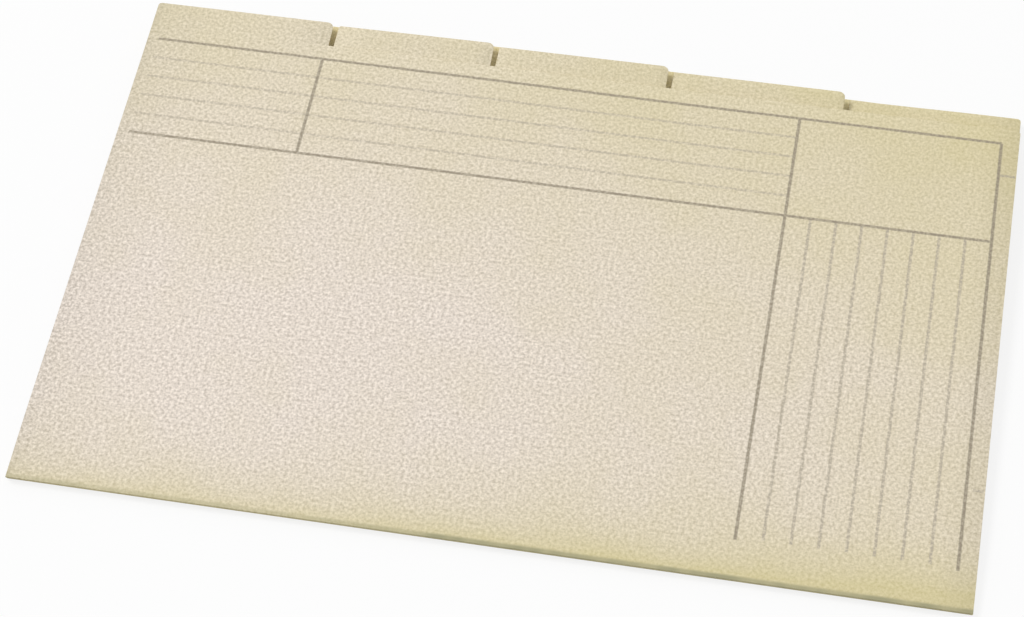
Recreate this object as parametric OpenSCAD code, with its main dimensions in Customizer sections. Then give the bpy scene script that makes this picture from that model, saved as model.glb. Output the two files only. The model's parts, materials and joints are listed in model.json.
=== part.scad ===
// Compartment file folder: a plain back cover, four tabbed dividers and a tabbed front cover.
// Each leaf is creased along its near edge, and the narrow foot behind the crease is glued to the
// leaf below, so that every leaf turns on its own crease and carries the leaves above it.
// X runs along the creases, Y from the creases to the tabs, and Z up from the desk. Sizes are millimetres.

/* [Board] */
// Thickness of the manila board
sheet_t = 0.25; // [0.15:0.05:0.4]
// Length of the file along its creases
file_l = 356; // [320:1:400]
// Height of the file, from the creases to the top of the tabs
file_h = 238; // [200:1:280]
// How far the back cover stands above the tabs
back_rise = 1.5; // [0:0.1:4]
// Radius of the outer top corners of the covers and leaves
leaf_r = 1.5; // [0.5:0.1:6]

/* [Tabs] */
// Height of the tabs above the leaves
tab_h = 12; // [8:0.5:20]
// Width of the front cover's tab, at the left
tab_1_w = 74; // [50:0.5:80]
// Width of the first divider's tab
tab_2_w = 65; // [50:0.5:75]
// Width of the second divider's tab
tab_3_w = 70; // [50:0.5:75]
// Width of the third divider's tab
tab_4_w = 70; // [50:0.5:75]
// Width of the open slot between two tabs
slot_w = 2; // [1:0.1:5]
// Radius of a tab's left top corner
tab_left_r = 1; // [0.5:0.1:4]
// Radius of a tab's right top corner
tab_right_r = 2.8; // [0.5:0.1:6]

/* [Creases] */
// Width of the foot that is folded under a leaf
foot_w = 18; // [10:0.5:30]
// Clearance between a leaf and its own foot at the crease
crease_gap = 0.06; // [0.04:0.01:0.2]
// How far each crease stands out beyond the one below
crease_lean = 0.3; // [0:0.05:0.4]
// Thickness of the glue line under a foot
glue_t = 0.04; // [0.02:0.01:0.1]
// Bare margin of a foot around its glue line
glue_edge = 3; // [1:0.5:4.5]

/* [Spread at rest] */
// Height of the fourth divider's tab above the back cover
lift_back = 2; // [0.8:0.05:3.5]
// Height of the third divider's tab above the fourth divider
lift_4 = 3.7; // [0.8:0.05:4.2]
// Height of the second divider's tab above the third divider
lift_3 = 2.15; // [0.8:0.05:4]
// Height of the first divider's tab above the second divider
lift_2 = 0.8; // [0.8:0.05:3.5]
// Height of the front cover's tab above the first divider
lift_1 = 0.8; // [0.8:0.05:3.5]

/* [Hidden] */
$fn = 48;

manila = [0.88, 0.83, 0.71];
manila_inside = [0.84, 0.78, 0.64];
dry_glue = [0.93, 0.92, 0.86];

// The outside of a crease is round, and its radius is half the board
fold_r = sheet_t / 2;
// From a crease to the top edge of a leaf, and to the top of its tab
leaf_h = file_h - tab_h - fold_r;
tab_top = file_h - fold_r;
// The near side of the file, which is centred on the origin with its back cover
near_y = -(file_h + back_rise) / 2;
// From the middle of a leaf to the middle of the foot that lies on it, and of the leaf above
foot_z = sheet_t + glue_t;
crease_step = foot_z + sheet_t + crease_gap;

// The lifts that raise each leaf from the desk, one for every crease under it
at_back = [];
at_divider_4 = [lift_back];
at_divider_3 = [lift_back, lift_4];
at_divider_2 = [lift_back, lift_4, lift_3];
at_divider_1 = [lift_back, lift_4, lift_3, lift_2];
at_front = [lift_back, lift_4, lift_3, lift_2, lift_1];

// The tabs stand side by side, and the last one takes what is left of the length
tab_1_x = -file_l / 2;
tab_2_x = tab_1_x + tab_1_w + slot_w;
tab_3_x = tab_2_x + tab_2_w + slot_w;
tab_4_x = tab_3_x + tab_3_w + slot_w;
tab_5_x = tab_4_x + tab_4_w + slot_w;
tab_5_w = file_l / 2 - tab_5_x;

// How far a leaf's crease lies behind the front cover's, which stands out most
function set_back(lifts) = crease_lean * (len(at_front) - len(lifts));

// How far a leaf stands open against the one below when the file lies closed
function tilt(lift) = asin((lift - crease_step) / tab_top);

// A list without its last entry
function all_but_last(list) = [for (i = [0 : 1 : len(list) - 2]) list[i]];

// Puts its children in the frame of a leaf, whose X axis is the leaf's crease
module on_leaf(lifts) {
    if (len(lifts) == 0)
        translate([0, near_y + fold_r + set_back(lifts), fold_r])
            children();
    else
        on_leaf(all_but_last(lifts))
            translate([0, -crease_lean, crease_step])
                rotate([tilt(lifts[len(lifts) - 1]), 0, 0])
                    children();
}

// What rounding takes off a corner that points along +X and +Y
module corner_waste(r) {
    translate([-r, -r])
        difference() {
            square(2 * r);
            circle(r);
        }
}

// A rectangle with its lower left corner at the origin and its two top corners rounded
module round_topped(w, h, left_r, right_r) {
    difference() {
        square([w, h]);
        translate([w, h]) corner_waste(right_r);
        translate([0, h]) mirror([1, 0]) corner_waste(left_r);
    }
}

// Board cut to the outline of its children, with its middle at the crease's height
module board() {
    translate([0, 0, -fold_r]) linear_extrude(sheet_t) children();
}

// A strip of board from a round crease on the X axis to its cut edge
module creased_strip(depth) {
    translate([-file_l / 2, 0, 0])
        rotate([90, 0, 90])
            linear_extrude(file_l) {
                circle(fold_r);
                translate([0, -fold_r]) square([depth, sheet_t]);
            }
}

// A leaf from its crease to its tab, whose left and right top corners are rounded
module leaf(lifts, tab_x, tab_w, left_r = tab_left_r, right_r = tab_right_r) {
    shoulder = leaf_h - set_back(lifts);
    color(manila)
        on_leaf(lifts) {
            creased_strip(foot_w);
            board() {
                translate([-file_l / 2, foot_w / 2])
                    round_topped(file_l, shoulder - foot_w / 2, leaf_r, leaf_r);
                translate([tab_x, shoulder / 2])
                    round_topped(tab_w, shoulder / 2 + tab_h, left_r, right_r);
            }
        }
}

// The foot of the leaf above, which lies on this leaf
module foot(lifts) {
    color(manila_inside)
        on_leaf(lifts)
            translate([0, -crease_lean, foot_z])
                creased_strip(foot_w);
}

// The glue line between this leaf and the foot that lies on it
module glue_line(lifts) {
    color(dry_glue)
        on_leaf(lifts)
            translate([glue_edge - file_l / 2, glue_edge - crease_lean, fold_r])
                cube([file_l - 2 * glue_edge, foot_w - 2 * glue_edge, glue_t]);
}

// The back cover is a little higher than the tabs all along, and shows through the slots between them
module back_cover() {
    color(manila)
        on_leaf(at_back)
            board()
                translate([-file_l / 2, -fold_r])
                    round_topped(file_l, file_h - set_back(at_back) + back_rise, leaf_r, leaf_r);
}

module divider_4_glue() { glue_line(at_back); }
module divider_4_foot() { foot(at_back); }
module divider_4() { leaf(at_divider_4, tab_5_x, tab_5_w, right_r = leaf_r); }
module divider_3_glue() { glue_line(at_divider_4); }
module divider_3_foot() { foot(at_divider_4); }
module divider_3() { leaf(at_divider_3, tab_4_x, tab_4_w); }
module divider_2_glue() { glue_line(at_divider_3); }
module divider_2_foot() { foot(at_divider_3); }
module divider_2() { leaf(at_divider_2, tab_3_x, tab_3_w); }
module divider_1_glue() { glue_line(at_divider_2); }
module divider_1_foot() { foot(at_divider_2); }
module divider_1() { leaf(at_divider_1, tab_2_x, tab_2_w); }
module front_cover_glue() { glue_line(at_divider_1); }
module front_cover_foot() { foot(at_divider_1); }
module front_cover() { leaf(at_front, tab_1_x, tab_1_w, left_r = leaf_r); }

back_cover();
divider_4_glue();
divider_4_foot();
divider_4();
divider_3_glue();
divider_3_foot();
divider_3();
divider_2_glue();
divider_2_foot();
divider_2();
divider_1_glue();
divider_1_foot();
divider_1();
front_cover_glue();
front_cover_foot();
front_cover();
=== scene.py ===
"""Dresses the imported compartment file: creased manila sheets, their ruling and glue, and a pale studio."""

import json
import math
from collections import namedtuple

import bmesh
import bpy
from bpy.props import FloatProperty, FloatVectorProperty, IntProperty, PointerProperty
from mathutils import Matrix, Vector


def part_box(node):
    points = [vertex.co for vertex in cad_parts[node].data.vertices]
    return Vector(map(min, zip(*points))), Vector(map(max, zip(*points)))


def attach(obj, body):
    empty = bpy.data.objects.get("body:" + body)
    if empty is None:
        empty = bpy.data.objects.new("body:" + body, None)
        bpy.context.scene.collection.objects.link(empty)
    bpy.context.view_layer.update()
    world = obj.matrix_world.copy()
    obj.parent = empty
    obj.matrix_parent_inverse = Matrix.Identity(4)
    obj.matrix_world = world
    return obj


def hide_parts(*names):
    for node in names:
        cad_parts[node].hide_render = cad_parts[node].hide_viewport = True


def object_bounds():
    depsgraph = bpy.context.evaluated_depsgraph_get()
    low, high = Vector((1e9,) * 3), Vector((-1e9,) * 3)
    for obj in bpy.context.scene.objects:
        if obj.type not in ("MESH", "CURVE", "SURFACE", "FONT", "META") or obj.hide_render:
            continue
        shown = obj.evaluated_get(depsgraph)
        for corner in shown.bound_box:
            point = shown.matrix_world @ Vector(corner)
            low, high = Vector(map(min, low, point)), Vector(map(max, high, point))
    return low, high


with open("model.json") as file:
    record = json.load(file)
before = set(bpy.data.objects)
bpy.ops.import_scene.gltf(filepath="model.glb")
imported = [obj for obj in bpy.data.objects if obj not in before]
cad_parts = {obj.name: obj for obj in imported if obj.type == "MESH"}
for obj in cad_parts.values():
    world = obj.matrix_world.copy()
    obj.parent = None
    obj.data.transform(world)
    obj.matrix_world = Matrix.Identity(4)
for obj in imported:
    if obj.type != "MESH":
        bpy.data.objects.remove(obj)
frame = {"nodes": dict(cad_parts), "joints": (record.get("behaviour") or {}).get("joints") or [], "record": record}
cad_box = [list(corner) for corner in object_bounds()]

bl_info = {
    "name": "Compartment File Folder",
    "version": (1, 0, 0),
    "blender": (4, 5, 0),
    "location": "View3D > Sidebar > File Folder",
    "description": "Models the manila sheets of a compartment file around its packed frame",
    "category": "Add Mesh",
}

# How the names of a foot and of a glue line end
FOOT = "_foot"
GLUE = "_glue"

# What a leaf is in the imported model: its node, its body, the crease it turns on and how far it stands open
Leaf = namedtuple("Leaf", "node body crease tilt")
# A leaf's edges in its own frame, where the crease is the X axis and the tab points along +Y
Outline = namedtuple("Outline", "left right tab_left tab_right shoulder top")
ALONG_CREASE = Vector((1, 0, 0))
TO_TAB = Vector((0, 1, 0))

# Distances in metres under which two corners, cuts, rows or edges count as one
SAME_PLACE = 1e-5
SAME_CUT = 1e-6
SAME_ROW = 4e-6
SAME_EDGE = 1e-4

# Faces that round a corner, a fold and a cut edge, and rows that a tab is cut into
CORNER_FACES = 8
FOLD_FACES = 4
EDGE_FACES = 2
TAB_ROWS = 5
# Share of the board's thickness that is rounded on each side of a fold
FOLD_ROUND = 0.48
# Edges sharper than the first are softened, and edges flatter than the second are shaded smooth
CUT_ANGLE = math.radians(60)
SMOOTH_ANGLE = math.radians(35)

# A cloudy pattern: its repeats to the metre along each axis, its finer layers and how strong they are
Pattern = namedtuple("Pattern", "scale detail roughness flat", defaults=(False,))
MOTTLE = Pattern((26.0, 26.0, 26.0), 3.0, 0.55)
GRAIN = Pattern((800.0, 800.0, 800.0), 1.0, 0.75, flat=True)
FIBRES = Pattern((420.0, 1500.0, 900.0), 3.0, 0.6)
PATCHES = Pattern((70.0, 70.0, 0.0), 2.0, 0.5)
STREAKS = Pattern((60.0, 420.0, 60.0), 3.0, 0.5)
# Values of a pattern between which it goes from its low to its high effect
CLOUD_SPAN = (0.3, 0.7)
PRINT_SPAN = (0.35, 0.65)
FLECK_SPAN = (0.62, 0.78)
# What the mottle adds to the yellowing, and how much of a fleck is dark fibre
MOTTLE_TONES = (-0.06, 0.08)
FLECK_SHARE = 0.12
# How the grain of the board shifts its red, green and blue, so that it stays the same hue
GRAIN_TINT = (1.0, 0.94, 0.88)
# The grain's depth on fully toned board, against the rest
TONED_GRAIN = 1 / 3
# What is left of the ink where the grain is low and where it is high
HEAVY_INK_LEFT = (1.0, 0.7)
FAINT_INK_LEFT = (1.0, 0.4)
# How far a face has to look upwards before it takes the print, and to take all of it
PRINT_SLANT = (0.4, 0.6)

# Where the crease's tone, which is yellowing and painted shade, and its mark of wear and painted shade grow, in
# metres from its left end, and from what to what
TONE_GROWS = (0.04, 0.2)
TONE_SHARES = (0.8, 1.0)
WEAR_AND_SHADE_GROWS = (0.12, 0.17)
WEAR_AND_SHADE_SHARES = (0.42, 0.9)
# How far from a crease its mark of wear and painted shade starts to fade and ends, in metres, and how it differs
# between patches
WEAR_AND_SHADE_ENDS = (0.0009, 0.0023)
PATCH_SHARES = (0.7, 1.2)

# Roughness, gloss and relief of the board and of the dried glue
BOARD_ROUGH = (0.7, 0.84)
BOARD_GLOSS = 0.25
BOARD_BUMP = {"Strength": 0.25, "Distance": 0.00006}
GRAIN_RELIEF = 0.6
FIBRE_RELIEF = 0.4
GLUE_ROUGH = (0.32, 0.5)
GLUE_BUMP = {"Strength": 0.3, "Distance": 0.00003}
STREAK_SHARE = 0.6

# The picture's width in pixels, the sensor's in millimetres, and how near the camera sees, in metres
IMAGE_W = 1024
SENSOR_W = 36.0
CAMERA_NEAR = 0.01
# The floor's size and how far it lies under the file, in metres, and how white the camera sees it
FLOOR_SIZE = 12
FLOOR_DROP = 0.0002
FLOOR_WHITE = 0.83
FLOOR_PAINT = (0.88, 0.88, 0.88, 1)
WHITE = (1, 1, 1, 1)
# How squarely a direction faces the bright side of the sky at its weakest and at its strongest light
SKY_SPAN = (-0.6, 0.9)


def millimetres(name, description, default):
    """A length property that is written in millimetres."""
    return FloatProperty(
        name=name, description=description, default=default / 1000, unit="LENGTH", precision=5
    )


def millimetre_row(name, description, *defaults):
    """A row of lengths that are written in millimetres."""
    return FloatVectorProperty(
        name=name,
        description=description,
        default=[length / 1000 for length in defaults],
        size=len(defaults),
        unit="LENGTH",
        precision=5,
    )


def degrees(name, description, default):
    """An angle property that is written in degrees."""
    return FloatProperty(name=name, description=description, default=math.radians(default), subtype="ANGLE")


def share(name, description, default):
    """A property that goes from 0 to 1."""
    return FloatProperty(name=name, description=description, default=default, subtype="FACTOR", min=0, max=1)


def tint(name, description, red, green, blue):
    """A colour property that is written as the screen values from 0 to 255."""
    linear = []
    for level in (red, green, blue):
        screen = level / 255
        linear.append(screen / 12.92 if screen <= 0.04045 else ((screen + 0.055) / 1.055) ** 2.4)
    return FloatVectorProperty(
        name=name, description=description, default=linear, size=3, subtype="COLOR", min=0, max=1
    )


class BoardSettings(bpy.types.PropertyGroup):
    """How the manila board is cut and how it springs"""

    tab_left_r: millimetres("Tab left corner", "Radius of a tab's left top corner", 1)
    tab_right_r: millimetres("Tab right corner", "Radius of a tab's right top corner", 2.8)
    leaf_r: millimetres("Outer corner", "Radius of the outer top corners of the covers and leaves", 1.5)
    edge_r: millimetres("Cut edge", "Softening of the cut edges", 0.05)
    bow_run: millimetres("Bow run", "How far from its crease a leaf rises to its highest", 34)
    bow: millimetre_row(
        "Bow", "How high each leaf bows, from the back cover to the front", 0, 0.3, 0.6, 0.7, 0.75, 0.8
    )
    wave: millimetre_row(
        "Wave", "How much each leaf waves, from the back cover to the front", 0, 0.1, 0.3, 0.4, 0.4, 0.4
    )
    wave_length: millimetres("Wave length", "Size of the waves in a leaf", 110)
    curl_start: millimetres("Curl start", "From the crease to where a curl starts", 50)
    curl_places: millimetre_row(
        "Curl places", "Distances from the left edge that the curls are given at", 0, 143, 213, 287, 356
    )
    back_curl: millimetre_row(
        "Back curl", "How far the back cover's free edge curls up there", 6.1, 6.1, 4.1, 0.5, 0
    )
    curl_4: millimetre_row(
        "Fourth curl", "How far the fourth divider's free edge curls up there", 4.6, 4.6, 2.9, 0, 1.1
    )
    curl_3: millimetre_row(
        "Third curl", "How far the third divider's free edge curls up there", 1.35, 1.35, 0.1, 0, 0
    )
    tab_lift: millimetre_row(
        "Tab lift", "How far each tab's right corner is bent up, from the back", 0, 0, 0.7, 0.95, 1.1, 0.6
    )
    columns: IntProperty(name="Columns", description="Cuts across the length of a sheet", default=24)


class ManilaSettings(bpy.types.PropertyGroup):
    """Colours of the board, the print and the glue, how the board has aged, and where shade is painted on it"""

    board: tint("Board", "Middle of the covers and dividers", 226, 215, 203)
    inside: tint("Inside", "Back cover and feet, which light has faded less", 228, 210, 163)
    # The toned colour stands for yellowing, and along the crease for painted shade as well; towards the tabs and
    # the right edge the board simply turns yellower and darker
    toned: tint("Toned", "Board that light and hands have yellowed, along the edges", 213, 202, 158)
    # The fold colour is partly wear and partly painted shade, for the crease's unlit outside
    fold: tint("Fold", "Worn board on the outside of a crease", 163, 159, 126)
    fibre: tint("Fibre", "Dark fibres in the board", 171, 152, 117)
    heavy_ink: tint("Heavy ink", "Heavy lines of the ruling", 154, 144, 126)
    faint_ink: tint("Faint ink", "Faint lines of the ruling", 181, 171, 153)
    glue: tint("Glue", "Dried glue", 238, 233, 217)
    speckle: share("Speckle", "Depth of the board's grain", 0.7)
    # The crease's tone is partly yellowing and partly painted shade
    fold_reach: millimetres("Fold reach", "How fast the yellowing fades away from the crease", 14)
    fold_tone: share("Fold tone", "Yellowing at the crease", 0.92)
    top_start: millimetres("Top start", "From the crease to where the top yellows", 95)
    top_tone: share("Top tone", "Yellowing at the tabs", 0.55)
    right_start: millimetres("Right start", "From the left edge to where the right side yellows", 120)
    right_tone: share("Right tone", "Yellowing at the right edge", 0.4)
    # The left edge is darkened by painted shade
    left_reach: millimetres("Left reach", "How fast the soiling fades away from the left edge", 10)
    left_shade_depth: share("Left tone", "Soiling at the left edge", 0.16)
    # How strongly each crease takes the fold colour, which is partly wear and partly painted shade
    cover_wear_and_shade: share("Cover wear", "Wear at the crease of the front cover", 1)
    divider_wear_and_shade: share("Divider wear", "Wear at the creases of the dividers", 0.3)
    inside_wear_and_shade: share("Inside wear", "Wear at the near edge of the back cover and the feet", 0.2)


class RulingSettings(bpy.types.PropertyGroup):
    """The blank form that is printed on the front cover, from its left edge and its crease"""

    left: millimetres("Left end", "Where the level lines start", 4.5)
    name_column: millimetres("Name column", "Upright line at the end of the first box", 73.2)
    side_column: millimetres("Side column", "Upright line that starts the side columns", 268.5)
    right: millimetres("Right end", "Upright line at the right margin", 349)
    head_foot: millimetres("Head foot", "Lower line of the head", 168.2)
    head_top: millimetres("Head top", "Upper line of the head", 218.5)
    side_foot: millimetres("Side foot", "Lower end of the heavy upright lines", 16.6)
    column_foot: millimetres("Column foot", "Lower end of the faint columns", 17.8)
    pitch: millimetres("Pitch", "Distance between two faint lines", 10.06)
    heavy: millimetres("Heavy line", "Width of a heavy line", 1.25)
    light: millimetres("Light line", "Width of a faint line", 1.15)
    row_ink: share("Row ink", "Strength of the faint rows against the faint columns", 0.7)
    soft: millimetres("Soft edge", "How far the ink bleeds into the board", 0.25)
    high_tick: millimetres("High tick", "Short mark in the right margin, beside the head", 202)
    high_tick_start: millimetres("High tick start", "Left end of that mark", 349)
    low_tick: millimetres("Low tick", "Short mark in the right margin, beside the side columns", 51.9)
    low_tick_start: millimetres("Low tick start", "Left end of that mark", 351.5)
    tick_end: millimetres("Tick end", "Right end of both marks", 355.5)


class StudioSettings(bpy.types.PropertyGroup):
    """The camera and the light"""

    target: millimetre_row("Target", "Point that the camera looks at", -7.86, -8.67, 0)
    distance: millimetres("Distance", "From the camera to its target", 1185.5)
    yaw: degrees("Yaw", "Turn to the right", 10.357)
    tilt: degrees("Tilt", "From straight down", 38.123)
    roll: degrees("Roll", "Turn of the picture", -0.595)
    focal_px: FloatProperty(name="Focal length", description="In pixels of the picture", default=3079.1)
    key_place: millimetre_row("Key place", "Where the large lamp on the left hangs", -3600, 500, 4900)
    key_size: millimetres("Key size", "Width of the large lamp", 2000)
    key_power: FloatProperty(
        name="Key light", description="Power of the large lamp", default=181, unit="POWER"
    )
    sky_side: FloatVectorProperty(
        name="Sky side",
        description="Direction of the brightest sky light",
        default=(-0.45, 0.7, 0.55),
        subtype="XYZ",
    )
    fill_front: FloatProperty(name="Front fill", description="Sky light from the front", default=0.3)
    fill_back: FloatProperty(name="Back fill", description="Sky light from behind", default=0.8)


class FileFolderSettings(bpy.types.PropertyGroup):
    """All settings of the file"""

    board: PointerProperty(type=BoardSettings)
    manila: PointerProperty(type=ManilaSettings)
    ruling: PointerProperty(type=RulingSettings)
    studio: PointerProperty(type=StudioSettings)


def board_thickness():
    """The back cover lies flat on the desk, so its box is as high as the board is thick."""
    low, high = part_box("back_cover")
    return high.z - low.z


def leaves():
    """The file's leaves from the desk up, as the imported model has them."""
    creases = {joint["child"]: Vector(joint["pos_m"]) for joint in frame["joints"]}
    half = board_thickness() / 2
    found = []
    for body, nodes in frame["record"]["behaviour"]["bodies"].items():
        node = next(n for n in nodes if not n.endswith((FOOT, GLUE)))
        low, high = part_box(node)
        crease = creases.get(body, Vector((0, low.y + half, half)))
        tilt = math.atan2(high.z - half - crease.z, high.y - crease.y)
        found.append(Leaf(node, body, crease, tilt))
    return sorted(found, key=lambda leaf: leaf.crease.z)


def in_leaf(leaf, node):
    """A node's corners in the frame of a leaf."""
    turn = Matrix.Rotation(-leaf.tilt, 3, "X")
    return [turn @ (corner.co - leaf.crease) for corner in frame["nodes"][node].data.vertices]


def outline_of(leaf):
    """A leaf's edges and its tab, measured on its node."""
    tab_part = 0.006
    margin = 0.001
    corners = in_leaf(leaf, leaf.node)
    top = max(c.y for c in corners)
    tab = [c.x for c in corners if c.y > top - tab_part]
    tab_left, tab_right = min(tab), max(tab)
    beside = [c.y for c in corners if not tab_left - margin < c.x < tab_right + margin]
    return Outline(
        min(c.x for c in corners),
        max(c.x for c in corners),
        tab_left,
        tab_right,
        max(beside, default=top),
        top,
    )


def cut_board(name, left, right, near, far):
    """Starts a flat sheet in its leaf's frame and leaves it in edit mode."""
    bpy.ops.object.select_all(action="DESELECT")
    bpy.ops.mesh.primitive_plane_add(size=1, enter_editmode=True, location=(0, 0, 0))
    board = bpy.context.object
    board.name = board.data.name = name
    bpy.ops.mesh.select_mode(type="VERT")
    bpy.ops.mesh.select_all(action="SELECT")
    bpy.ops.transform.resize(value=(right - left, far - near, 1), center_override=(0, 0, 0))
    bpy.ops.transform.translate(value=((left + right) / 2, (near + far) / 2, 0))
    return board


def pick(board, kind, test):
    """Selects the corners or edges that pass a test, and nothing else."""
    bpy.ops.mesh.select_mode(type="VERT" if kind == "verts" else "EDGE")
    bpy.ops.mesh.select_all(action="DESELECT")
    shape = bmesh.from_edit_mesh(board.data)
    for item in getattr(shape, kind):
        if test(item):
            item.select_set(True)
    bmesh.update_edit_mesh(board.data)


def slice_board(axis, places):
    """Cuts the whole sheet along straight lines, so that it can bend there."""
    for place in places:
        bpy.ops.mesh.select_all(action="SELECT")
        bpy.ops.mesh.bisect(plane_co=place * axis, plane_no=axis, threshold=SAME_CUT)


def round_corner(board, x, y, radius):
    """Rounds the corner of a sheet that is at this place."""
    place = Vector((x, y, 0))
    pick(board, "verts", lambda corner: (corner.co - place).length < SAME_PLACE)
    bpy.ops.mesh.bevel(offset=radius, segments=CORNER_FACES, affect="VERTICES")


def raise_tab(board, outline):
    """Draws the tab out of the sheet's top edge."""
    inner_left, inner_right = outline.left + SAME_PLACE, outline.right - SAME_PLACE
    sides = [x for x in (outline.tab_left, outline.tab_right) if inner_left < x < inner_right]
    slice_board(ALONG_CREASE, sides)

    def under_tab(edge):
        return all(
            abs(c.co.y - outline.shoulder) < SAME_PLACE
            and outline.tab_left - SAME_PLACE < c.co.x < outline.tab_right + SAME_PLACE
            for c in edge.verts
        )

    pick(board, "edges", under_tab)
    bpy.ops.mesh.extrude_edges_move(
        TRANSFORM_OT_translate={"value": (0, outline.top - outline.shoulder, 0)}
    )


def bow_height(y, rise, run, top):
    """Height of a bowed leaf: it springs up from its crease and settles again towards its tab."""
    if y <= 0:
        return 0
    if y < run:
        return rise * math.sin(math.pi / 2 * y / run)
    return rise * (1 + math.cos(math.pi * (y - run) / (top - run))) / 2


def bow_rows(top):
    """Where a sheet is cut across so that it can bow: close together at the crease, then wider apart."""
    first, step, growth, widest = 0.0004, 0.0012, 1.14, 0.011
    rows = [first, step]
    while rows[-1] + step < top:
        rows.append(rows[-1] + step)
        step = min(step * growth, widest)
    return rows


def bow_board(board, rise, run, top):
    """Lifts the sheet's corners row by row."""
    if not rise:
        return
    rows = []
    for y in sorted(corner.co.y for corner in bmesh.from_edit_mesh(board.data).verts):
        if not rows or y - rows[-1] > SAME_ROW:
            rows.append(y)
    for row in rows:
        pick(board, "verts", lambda corner, row=row: 0 <= corner.co.y - row <= SAME_ROW)
        bpy.ops.transform.translate(value=(0, 0, bow_height(row, rise, run, top)))


def finish_with(board, kind, **settings):
    """Adds a modifier to the sheet and applies it."""
    modifier = board.modifiers.new(kind.title(), kind)
    for name, value in settings.items():
        setattr(modifier, name, value)
    bpy.ops.object.modifier_apply(modifier=modifier.name)


def lift_board(board, weight, height, **settings):
    """Displaces the sheet upwards, each of its corners by its own weight from 0 to 1."""
    group = board.vertex_groups.new(name="lifted")
    for corner in board.data.vertices:
        group.add([corner.index], weight(corner.co), "REPLACE")
    finish_with(board, "DISPLACE", direction="Z", strength=height, vertex_group=group.name, **settings)
    board.vertex_groups.clear()


def smooth_share(value, start, end):
    """How far a value has come from start to end, from 0 to 1, with soft ends."""
    part = min(max((value - start) / (end - start), 0), 1)
    return part * part * (3 - 2 * part)


def wave_board(board, height, length):
    """Gives the free part of a leaf slow waves, and none at its crease."""
    if not height:
        return
    held, free = 0.02, 0.09
    clouds = bpy.data.textures.get("board_wave") or bpy.data.textures.new("board_wave", "CLOUDS")
    clouds.noise_scale = length
    clouds.noise_depth = 0
    lift_board(
        board,
        lambda place: smooth_share(place.y, held, free),
        height,
        texture=clouds,
        texture_coords="LOCAL",
        mid_level=0.5,
    )


def between(places, heights, place):
    """The height at a place, going softly from each given height to the next."""
    for n in range(len(places) - 1):
        if place < places[n + 1]:
            part = smooth_share(place, places[n], places[n + 1])
            return heights[n] + part * (heights[n + 1] - heights[n])
    return heights[-1]


def curl_board(board, settings, level, left, top):
    """Lifts the free edge of a sheet that doesn't lie flat, by more in some places than in others."""
    rows = (settings.back_curl, settings.curl_4, settings.curl_3)
    if level >= len(rows):
        return
    heights = rows[level]
    most = max(heights)

    def weight(place):
        across = between(settings.curl_places, heights, place.x - left) / most
        return smooth_share(place.y, settings.curl_start, top) * across

    lift_board(board, weight, most, mid_level=0)


def bend_tab(board, outline, height):
    """Bends the free right corner of a tab up, as hands leave it."""
    if not height:
        return

    def weight(place):
        across = (place.x - outline.tab_left) / (outline.tab_right - outline.tab_left)
        return smooth_share(place.y, outline.shoulder, outline.top) * min(max(across, 0), 1)

    lift_board(board, weight, height, mid_level=0)


def round_fold(board, thickness, near):
    """Rounds both long edges of a sheet at its crease."""
    beside, level = 2e-5, 1e-6

    def along_fold(edge):
        first, second = edge.verts
        at_fold = all(abs(c.co.y - near) < beside for c in (first, second))
        return at_fold and abs(first.co.z - second.co.z) < level

    bpy.ops.object.mode_set(mode="EDIT")
    pick(board, "edges", along_fold)
    bpy.ops.mesh.bevel(offset=thickness * FOLD_ROUND, segments=FOLD_FACES, affect="EDGES")
    bpy.ops.object.mode_set(mode="OBJECT")


def thicken(board, thickness, edge_r, near=None):
    """Gives the sheet its thickness, a round crease at its near edge and softened cut edges."""
    finish_with(board, "SOLIDIFY", thickness=thickness, offset=0)
    if near is not None:
        round_fold(board, thickness, near)
    if edge_r:
        finish_with(
            board, "BEVEL", width=edge_r, segments=EDGE_FACES, limit_method="ANGLE", angle_limit=CUT_ANGLE
        )
    bpy.ops.object.shade_smooth_by_angle(angle=SMOOTH_ANGLE)


def seat(board, leaf, node, material, lift=0):
    """Turns a finished sheet into its leaf's place and joins it to the frame."""
    board.rotation_euler = (leaf.tilt, 0, 0)
    board.location = leaf.crease + Matrix.Rotation(leaf.tilt, 3, "X") @ Vector((0, 0, lift))
    bpy.ops.object.transform_apply(location=True, rotation=True, scale=True)
    board.data.materials.append(material)
    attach(board, leaf.body)
    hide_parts(node)


def round_leaf(board, board_set, outline, has_tab):
    """Rounds the top corners of a leaf and of its tab."""
    for side, tab_side, tab_r in (
        (outline.left, outline.tab_left, board_set.tab_left_r),
        (outline.right, outline.tab_right, board_set.tab_right_r),
    ):
        at_side = abs(side - tab_side) < SAME_EDGE
        if has_tab:
            round_corner(board, tab_side, outline.top, board_set.leaf_r if at_side else tab_r)
        if not has_tab or not at_side:
            round_corner(board, side, outline.shoulder, board_set.leaf_r)


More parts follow.
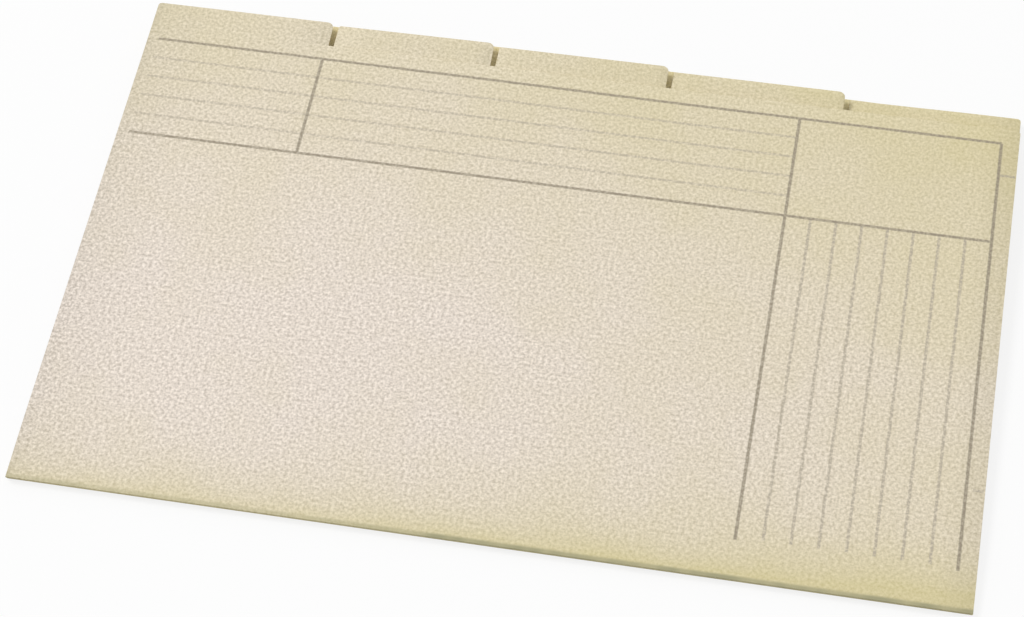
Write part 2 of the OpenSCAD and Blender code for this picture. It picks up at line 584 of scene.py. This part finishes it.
def model_leaf(settings, leaf, level, material):
    """Models one leaf from its crease to its tab."""
    board_set = settings.board
    thickness = board_thickness()
    outline = outline_of(leaf)
    near = -thickness / 2
    board = cut_board(leaf.node + "_sheet", outline.left, outline.right, near, outline.shoulder)
    tab_h = outline.top - outline.shoulder
    has_tab = tab_h > SAME_EDGE
    if has_tab:
        raise_tab(board, outline)
    round_leaf(board, board_set, outline, has_tab)
    step = (outline.right - outline.left) / board_set.columns
    slice_board(ALONG_CREASE, [outline.left + step * n for n in range(1, board_set.columns)])
    slice_board(TO_TAB, bow_rows(outline.top))
    if has_tab:
        slice_board(TO_TAB, [outline.shoulder + tab_h * n / TAB_ROWS for n in range(1, TAB_ROWS)])
    bow_board(board, board_set.bow[level], board_set.bow_run, outline.top)
    bpy.ops.object.mode_set(mode="OBJECT")
    wave_board(board, board_set.wave[level], board_set.wave_length)
    curl_board(board, board_set, level, outline.left, outline.top)
    bend_tab(board, outline, board_set.tab_lift[level])
    thicken(board, thickness, board_set.edge_r, near)
    seat(board, leaf, leaf.node, material)


def model_strip(settings, leaf, level, node, name, material):
    """Models a foot, or the glue under it, on the leaf that carries it."""
    board_set = settings.board
    is_foot = node.endswith(FOOT)
    corners = in_leaf(leaf, node)
    left, right = min(c.x for c in corners), max(c.x for c in corners)
    near, far = min(c.y for c in corners), max(c.y for c in corners)
    low, high = min(c.z for c in corners), max(c.z for c in corners)
    top = outline_of(leaf).top
    strip = cut_board(name, left, right, near, far)
    if not is_foot:
        for x in (left, right):
            for y in (near, far):
                round_corner(strip, x, y, board_set.tab_left_r)
    rows = [row for row in bow_rows(top) if near + SAME_EDGE < row < far - SAME_EDGE]
    slice_board(TO_TAB, rows)
    bow_board(strip, board_set.bow[level], board_set.bow_run, top)
    bpy.ops.object.mode_set(mode="OBJECT")
    if is_foot:
        thicken(strip, high - low, board_set.edge_r, near)
    else:
        thicken(strip, high - low, 0)
    seat(strip, leaf, node, material, lift=(low + high) / 2)


def node_tree_of(owner):
    """The node tree of a material or of the sky, emptied."""
    owner.use_nodes = True
    owner.node_tree.nodes.clear()
    return owner.node_tree


class Nodes:
    """Lays out the nodes of a tree and links them."""

    def __init__(self, tree):
        self.tree = tree

    def add(self, kind, inputs=None, **settings):
        """A node with its settings, and its inputs set to values or linked from sockets."""
        node = self.tree.nodes.new(kind)
        for name, value in settings.items():
            setattr(node, name, value)
        for name, value in (inputs or {}).items():
            if isinstance(value, bpy.types.NodeSocket):
                self.tree.links.new(value, node.inputs[name])
            else:
                node.inputs[name].default_value = value
        return node

    def math(self, operation, first, second=None):
        """A sum, product or other result of one or two values."""
        inputs = {0: first}
        if second is not None:
            inputs[1] = second
        return self.add("ShaderNodeMath", inputs, operation=operation).outputs[0]

    def axis(self, vector, name):
        """One axis of a place or a direction."""
        return self.add("ShaderNodeSeparateXYZ", {0: vector}).outputs[name]

    def fade(self, value, start, end, low=0.0, high=1.0, shape="SMOOTHSTEP"):
        """Goes from low to high while the value goes from start to end, by default with soft ends."""
        inputs = {"Value": value, "From Min": start, "From Max": end, "To Min": low, "To Max": high}
        return self.add("ShaderNodeMapRange", inputs, interpolation_type=shape).outputs["Result"]

    def ramp(self, value, start, end, low, high):
        """Goes straight from low to high while the value goes from start to end."""
        return self.fade(value, start, end, low, high, "LINEAR")

    def decay(self, value, reach, most):
        """Falls from its most at 0, to about a third of it at the reach."""
        return self.math("MULTIPLY", self.math("EXPONENT", self.math("MULTIPLY", value, -1 / reach)), most)

    def mix(self, factor, first, second):
        """Mixes two colours."""
        inputs = {0: factor, 6: first, 7: second}
        return self.add("ShaderNodeMix", inputs, data_type="RGBA").outputs[2]

    def scale(self, colour, factor):
        """A colour that is made stronger or weaker."""
        inputs = {"Vector": colour, "Scale": factor}
        return self.add("ShaderNodeVectorMath", inputs, operation="SCALE").outputs[0]

    def offset(self, first, second):
        """The sum of two colours."""
        return self.add("ShaderNodeVectorMath", {0: first, 1: second}, operation="ADD").outputs[0]

    def noise(self, vector, pattern):
        """Cloudy noise around 0.5. A flat pattern lies on a plane and doesn't change with the height."""
        place = self.add("ShaderNodeMapping", {"Vector": vector, "Scale": pattern.scale}).outputs[0]
        inputs = {"Vector": place, "Scale": 1.0, "Detail": pattern.detail, "Roughness": pattern.roughness}
        dimensions = "2D" if pattern.flat else "3D"
        return self.add("ShaderNodeTexNoise", inputs, noise_dimensions=dimensions).outputs["Fac"]


def solid(colour):
    """A colour property as a socket takes it."""
    return (*colour, 1.0)


def ruled_line_group(soft):
    """A node group that is 1 on a printed line between its four edges and 0 elsewhere."""
    group = bpy.data.node_groups.new("ruled_line", "ShaderNodeTree")
    for label in ("X", "Y", "Left", "Right", "Bottom", "Top"):
        group.interface.new_socket(label, in_out="INPUT", socket_type="NodeSocketFloat")
    group.interface.new_socket("Ink", in_out="OUTPUT", socket_type="NodeSocketFloat")
    lay = Nodes(group)
    given = lay.add("NodeGroupInput").outputs

    def depth(place, first, last):
        from_first = lay.math("SUBTRACT", given[place], given[first])
        to_last = lay.math("SUBTRACT", given[last], given[place])
        return lay.math("MINIMUM", from_first, to_last)

    inside = lay.math("MINIMUM", depth("X", "Left", "Right"), depth("Y", "Bottom", "Top"))
    lay.add("NodeGroupOutput", {"Ink": lay.fade(inside, -soft, soft)})
    return group


def ruling_lines(ruling):
    """The form's heavy lines, faint columns and faint rows, each as its left, right, bottom and top edge."""

    def level(y, left, right, width):
        return (left, right, y - width / 2, y + width / 2)

    def upright(x, bottom, top, width):
        return (x - width / 2, x + width / 2, bottom, top)

    heavy = [
        level(ruling.head_top, ruling.left, ruling.right, ruling.heavy),
        level(ruling.head_foot, ruling.left, ruling.right, ruling.heavy),
        upright(ruling.name_column, ruling.head_foot, ruling.head_top, ruling.heavy),
        upright(ruling.side_column, ruling.side_foot, ruling.head_top, ruling.heavy),
        upright(ruling.right, ruling.side_foot, ruling.head_top, ruling.heavy),
    ]
    columns = [
        level(ruling.high_tick, ruling.high_tick_start, ruling.tick_end, ruling.light),
        level(ruling.low_tick, ruling.low_tick_start, ruling.tick_end, ruling.light),
    ]
    x = ruling.side_column + ruling.pitch
    while x < ruling.right - ruling.pitch / 2:
        columns.append(upright(x, ruling.column_foot, ruling.head_foot, ruling.light))
        x += ruling.pitch
    rows = []
    y = ruling.head_foot + ruling.pitch
    while y < ruling.head_top - ruling.pitch / 2:
        rows.append(level(y, ruling.left, ruling.side_column, ruling.light))
        y += ruling.pitch
    return heavy, columns, rows


def print_ruling(lay, settings, x, y, facing, grain, colour):
    """Prints the form on the upper face of the board."""
    group = ruled_line_group(settings.ruling.soft)

    def ink_on(lines):
        ink = 0.0
        for left, right, bottom, top in lines:
            inputs = {"X": x, "Y": y, "Left": left, "Right": right, "Bottom": bottom, "Top": top}
            line = lay.add("ShaderNodeGroup", inputs, node_tree=group)
            ink = lay.math("MAXIMUM", ink, line.outputs["Ink"])
        return ink

    def taken(ink, left_over):
        on_grain = lay.math("MULTIPLY", ink, lay.fade(grain, *PRINT_SPAN, *left_over))
        return lay.math("MULTIPLY", on_grain, facing)

    heavy, columns, rows = (ink_on(lines) for lines in ruling_lines(settings.ruling))
    faint = lay.math("MAXIMUM", columns, lay.math("MULTIPLY", rows, settings.ruling.row_ink))
    colour = lay.mix(taken(faint, FAINT_INK_LEFT), colour, solid(settings.manila.faint_ink))
    return lay.mix(taken(heavy, HEAVY_INK_LEFT), colour, solid(settings.manila.heavy_ink))


def yellowing_and_shade(lay, manila, x, y, mottle):
    """How far the board turns to the toned colour, from 0 to 1: at the crease, as yellowing and painted shade, and
    towards the tabs and the right edge, where it grows yellower and darker.
    """
    low, high = cad_box
    length, height = high[0] - low[0], high[1] - low[1]
    # At the crease the tone is partly yellowing and partly painted shade
    at_fold = lay.decay(y, manila.fold_reach, manila.fold_tone)
    tones = (
        lay.math("MULTIPLY", at_fold, lay.fade(x, *TONE_GROWS, *TONE_SHARES)),
        lay.ramp(y, manila.top_start, height, 0.0, manila.top_tone),
        lay.ramp(x, manila.right_start, length, 0.0, manila.right_tone),
    )
    toned = lay.fade(mottle, *CLOUD_SPAN, *MOTTLE_TONES)
    for tone in tones:
        toned = lay.math("ADD", toned, tone)
    return lay.math("MINIMUM", lay.math("MAXIMUM", toned, 0.0), 1.0)


def crease_wear_and_shade(lay, place, x, y, wear_and_shade):
    """How far the outside of a crease is darkened by wear and painted shade, in patches, and less at its left end.
    """
    patches = lay.fade(lay.noise(place, PATCHES), *CLOUD_SPAN, *PATCH_SHARES)
    rubbed_and_shaded = lay.math("MULTIPLY", lay.fade(x, *WEAR_AND_SHADE_GROWS, *WEAR_AND_SHADE_SHARES), patches)
    return lay.math("MULTIPLY", lay.fade(y, *WEAR_AND_SHADE_ENDS, wear_and_shade, 0.0), rubbed_and_shaded)


def manila_finish(settings, name, colour, wear_and_shade, ruled=False):
    """Manila board with grain, fibres, edges that turn yellower and darker, a crease darkened by yellowing, wear
    and painted shade, and painted shade along its left edge, printed on one face if ruled.
    """
    material = bpy.data.materials.new(name + "_finish")
    lay = Nodes(node_tree_of(material))
    manila = settings.manila
    near_left = cad_box[0]

    coordinate = lay.add("ShaderNodeTexCoord").outputs
    moved = {"Vector": coordinate["Object"], "Location": (-near_left[0], -near_left[1], 0)}
    place = lay.add("ShaderNodeMapping", moved).outputs[0]
    x, y = lay.axis(place, "X"), lay.axis(place, "Y")
    facing = lay.fade(lay.axis(coordinate["Normal"], "Z"), *PRINT_SLANT)
    grain = lay.noise(place, GRAIN)
    fibre = lay.noise(place, FIBRES)

    # The crease takes the toned colour as yellowing and painted shade; the tabs and the right edge turn yellower
    # and darker
    toned = yellowing_and_shade(lay, manila, x, y, lay.noise(place, MOTTLE))
    shade = lay.mix(toned, solid(colour), solid(manila.toned))
    shade = lay.mix(lay.fade(fibre, *FLECK_SPAN, 0.0, FLECK_SHARE), shade, solid(manila.fibre))
    # Painted shade darkens the board towards its left edge
    left_shade = lay.decay(x, manila.left_reach, manila.left_shade_depth)
    shade = lay.scale(shade, lay.math("SUBTRACT", 1.0, left_shade))
    depth = lay.ramp(toned, 0.0, 1.0, manila.speckle, manila.speckle * TONED_GRAIN)
    speckle = lay.math("MULTIPLY", lay.math("SUBTRACT", grain, 0.5), depth)
    shade = lay.offset(shade, lay.scale(GRAIN_TINT, speckle))
    # Darkens the outside of the crease: partly wear, partly painted shade
    shade = lay.mix(crease_wear_and_shade(lay, place, x, y, wear_and_shade), shade, solid(manila.fold))
    if ruled:
        shade = print_ruling(lay, settings, x, y, facing, grain, shade)

    rough = lay.fade(grain, *CLOUD_SPAN, *BOARD_ROUGH)
    relief = lay.math(
        "ADD", lay.math("MULTIPLY", grain, GRAIN_RELIEF), lay.math("MULTIPLY", fibre, FIBRE_RELIEF)
    )
    bump = lay.add("ShaderNodeBump", {**BOARD_BUMP, "Height": relief}).outputs[0]
    shader = lay.add(
        "ShaderNodeBsdfPrincipled",
        {"Base Color": shade, "Roughness": rough, "Normal": bump, "Specular IOR Level": BOARD_GLOSS},
    )
    lay.add("ShaderNodeOutputMaterial", {"Surface": shader.outputs[0]})
    return material


def glue_finish(settings):
    """Dried glue: a slightly shiny film with cloudy streaks."""
    material = bpy.data.materials.new("dry_glue_finish")
    lay = Nodes(node_tree_of(material))
    manila = settings.manila
    streaks = lay.noise(lay.add("ShaderNodeTexCoord").outputs["Object"], STREAKS)
    cloudy = lay.fade(streaks, *CLOUD_SPAN, 0.0, STREAK_SHARE)
    shade = lay.mix(cloudy, solid(manila.glue), solid(manila.toned))
    rough = lay.fade(streaks, *CLOUD_SPAN, *GLUE_ROUGH)
    bump = lay.add("ShaderNodeBump", {**GLUE_BUMP, "Height": streaks}).outputs[0]
    shader = lay.add("ShaderNodeBsdfPrincipled", {"Base Color": shade, "Roughness": rough, "Normal": bump})
    lay.add("ShaderNodeOutputMaterial", {"Surface": shader.outputs[0]})
    return material


class FILEFOLDER_OT_back_cover(bpy.types.Operator):
    """Models the plain back cover that the file lies on"""

    bl_idname = "file_folder.back_cover"
    bl_label = "Back Cover"

    def execute(self, context):
        settings = context.scene.file_folder
        manila = settings.manila
        finish = manila_finish(settings, "back_manila", manila.inside, manila.inside_wear_and_shade)
        model_leaf(settings, leaves()[0], 0, finish)
        return {"FINISHED"}


class FILEFOLDER_OT_feet(bpy.types.Operator):
    """Models the feet that are folded under the leaves, and the glue that holds them"""

    bl_idname = "file_folder.feet"
    bl_label = "Feet and Glue"

    def execute(self, context):
        settings = context.scene.file_folder
        manila = settings.manila
        board = manila_finish(settings, "foot_manila", manila.inside, manila.inside_wear_and_shade)
        glue = glue_finish(settings)
        bodies = frame["record"]["behaviour"]["bodies"]
        for level, leaf in enumerate(leaves()):
            for node in bodies[leaf.body]:
                if node.endswith(FOOT):
                    model_strip(settings, leaf, level, node, node + "_strip", board)
                elif node.endswith(GLUE):
                    model_strip(settings, leaf, level, node, node + "_line", glue)
        return {"FINISHED"}


class FILEFOLDER_OT_dividers(bpy.types.Operator):
    """Models the four tabbed dividers"""

    bl_idname = "file_folder.dividers"
    bl_label = "Dividers"

    def execute(self, context):
        settings = context.scene.file_folder
        manila = settings.manila
        finish = manila_finish(settings, "divider_manila", manila.board, manila.divider_wear_and_shade)
        for level, leaf in enumerate(leaves()):
            if leaf.node.startswith("divider"):
                model_leaf(settings, leaf, level, finish)
        return {"FINISHED"}


class FILEFOLDER_OT_front_cover(bpy.types.Operator):
    """Models the front cover with its tab and the ruling printed on it"""

    bl_idname = "file_folder.front_cover"
    bl_label = "Front Cover"

    def execute(self, context):
        settings = context.scene.file_folder
        manila = settings.manila
        finish = manila_finish(settings, "printed_manila", manila.board, manila.cover_wear_and_shade, ruled=True)
        found = leaves()
        model_leaf(settings, found[-1], len(found) - 1, finish)
        return {"FINISHED"}


def seen_by_camera(lay):
    """1 for what the camera sees, also in a mirror or through glass."""
    path = lay.add("ShaderNodeLightPath").outputs
    mirrored = lay.math("MAXIMUM", path["Is Glossy Ray"], path["Is Transmission Ray"])
    return lay.math("MAXIMUM", path["Is Camera Ray"], mirrored)


def lay_floor():
    """A pale floor that the camera sees as white, with the file's shadow on it."""
    bpy.ops.object.select_all(action="DESELECT")
    bpy.ops.mesh.primitive_plane_add(size=FLOOR_SIZE, location=(0, 0, -FLOOR_DROP))
    floor = bpy.context.object
    floor.name = "studio_floor"
    material = bpy.data.materials.new("pale_floor")
    lay = Nodes(node_tree_of(material))
    paint = lay.add("ShaderNodeBsdfDiffuse", {"Color": FLOOR_PAINT}).outputs[0]
    white = lay.add("ShaderNodeEmission", {"Color": WHITE, "Strength": 1.0}).outputs[0]
    seen = lay.math("MULTIPLY", seen_by_camera(lay), FLOOR_WHITE)
    mixed = lay.add("ShaderNodeMixShader", {0: seen, 1: paint, 2: white}).outputs[0]
    lay.add("ShaderNodeOutputMaterial", {"Surface": mixed})
    floor.data.materials.append(material)


def light_sky(studio):
    """Soft light from all round, weaker from the front, behind a white backdrop."""
    world = bpy.context.scene.world or bpy.data.worlds.new("studio_sky")
    bpy.context.scene.world = world
    lay = Nodes(node_tree_of(world))
    direction = lay.add("ShaderNodeTexCoord").outputs["Generated"]
    bright_side = Vector(studio.sky_side).normalized()
    facing = lay.add("ShaderNodeVectorMath", {0: direction, 1: bright_side}, operation="DOT_PRODUCT")
    strength = lay.fade(facing.outputs["Value"], *SKY_SPAN, studio.fill_front, studio.fill_back)
    sky = lay.add("ShaderNodeBackground", {"Color": WHITE, "Strength": strength}).outputs[0]
    white = lay.add("ShaderNodeBackground", {"Color": WHITE, "Strength": 1.0}).outputs[0]
    mixed = lay.add("ShaderNodeMixShader", {0: seen_by_camera(lay), 1: sky, 2: white}).outputs[0]
    lay.add("ShaderNodeOutputWorld", {"Surface": mixed})


def hang_lamp(name, place, size, power):
    """A square lamp that faces the file."""
    lamp = bpy.data.lights.new(name, "AREA")
    lamp.size = size
    lamp.energy = power
    holder = bpy.data.objects.new(name, lamp)
    holder.location = place
    holder.rotation_euler = Vector(place).to_track_quat("Z", "Y").to_euler()
    bpy.context.scene.collection.objects.link(holder)


def set_camera(studio):
    """The camera at the photograph's place."""
    camera = bpy.data.cameras.new("photo_camera")
    camera.sensor_width = SENSOR_W
    camera.lens = studio.focal_px / IMAGE_W * SENSOR_W
    camera.clip_start = CAMERA_NEAR
    holder = bpy.data.objects.new("photo_camera", camera)
    turn = (
        Matrix.Rotation(studio.yaw, 4, "Z")
        @ Matrix.Rotation(studio.tilt, 4, "X")
        @ Matrix.Rotation(studio.roll, 4, "Z")
    )
    place = Vector(studio.target) + turn.to_3x3() @ Vector((0, 0, studio.distance))
    holder.matrix_world = Matrix.Translation(place) @ turn
    bpy.context.scene.collection.objects.link(holder)
    bpy.context.scene.camera = holder


class FILEFOLDER_OT_stage(bpy.types.Operator):
    """Sets up the floor, the light and the camera"""

    bl_idname = "file_folder.stage"
    bl_label = "Stage"

    def execute(self, context):
        studio = context.scene.file_folder.studio
        lay_floor()
        light_sky(studio)
        hang_lamp("key_lamp", studio.key_place, studio.key_size, studio.key_power)
        set_camera(studio)
        context.scene.view_settings.view_transform = "Standard"
        return {"FINISHED"}


class FILEFOLDER_PT_build(bpy.types.Panel):
    """Lists the steps that model the file"""

    bl_idname = "FILEFOLDER_PT_build"
    bl_label = "Compartment File Folder"
    bl_space_type = "VIEW_3D"
    bl_region_type = "UI"
    bl_category = "File Folder"

    def draw(self, context):
        for step in STEPS:
            self.layout.operator(step.bl_idname)
        settings = context.scene.file_folder
        for group in (settings.board, settings.manila, settings.ruling, settings.studio):
            box = self.layout.box()
            for name in group.__annotations__:
                box.prop(group, name)


STEPS = (
    FILEFOLDER_OT_back_cover,
    FILEFOLDER_OT_feet,
    FILEFOLDER_OT_dividers,
    FILEFOLDER_OT_front_cover,
    FILEFOLDER_OT_stage,
)
CLASSES = (
    BoardSettings,
    ManilaSettings,
    RulingSettings,
    StudioSettings,
    FileFolderSettings,
    *STEPS,
    FILEFOLDER_PT_build,
)


def register():
    """Makes the settings, the steps and the panel known."""
    for item in CLASSES:
        bpy.utils.register_class(item)
    bpy.types.Scene.file_folder = PointerProperty(type=FileFolderSettings)


def unregister():
    """Takes them away again."""
    del bpy.types.Scene.file_folder
    for item in reversed(CLASSES):
        bpy.utils.unregister_class(item)


def main():
    """Models the file in the order of its steps."""
    register()
    bpy.ops.file_folder.back_cover()
    bpy.ops.file_folder.feet()
    bpy.ops.file_folder.dividers()
    bpy.ops.file_folder.front_cover()
    bpy.ops.file_folder.stage()


if __name__ == "__main__":
    main()
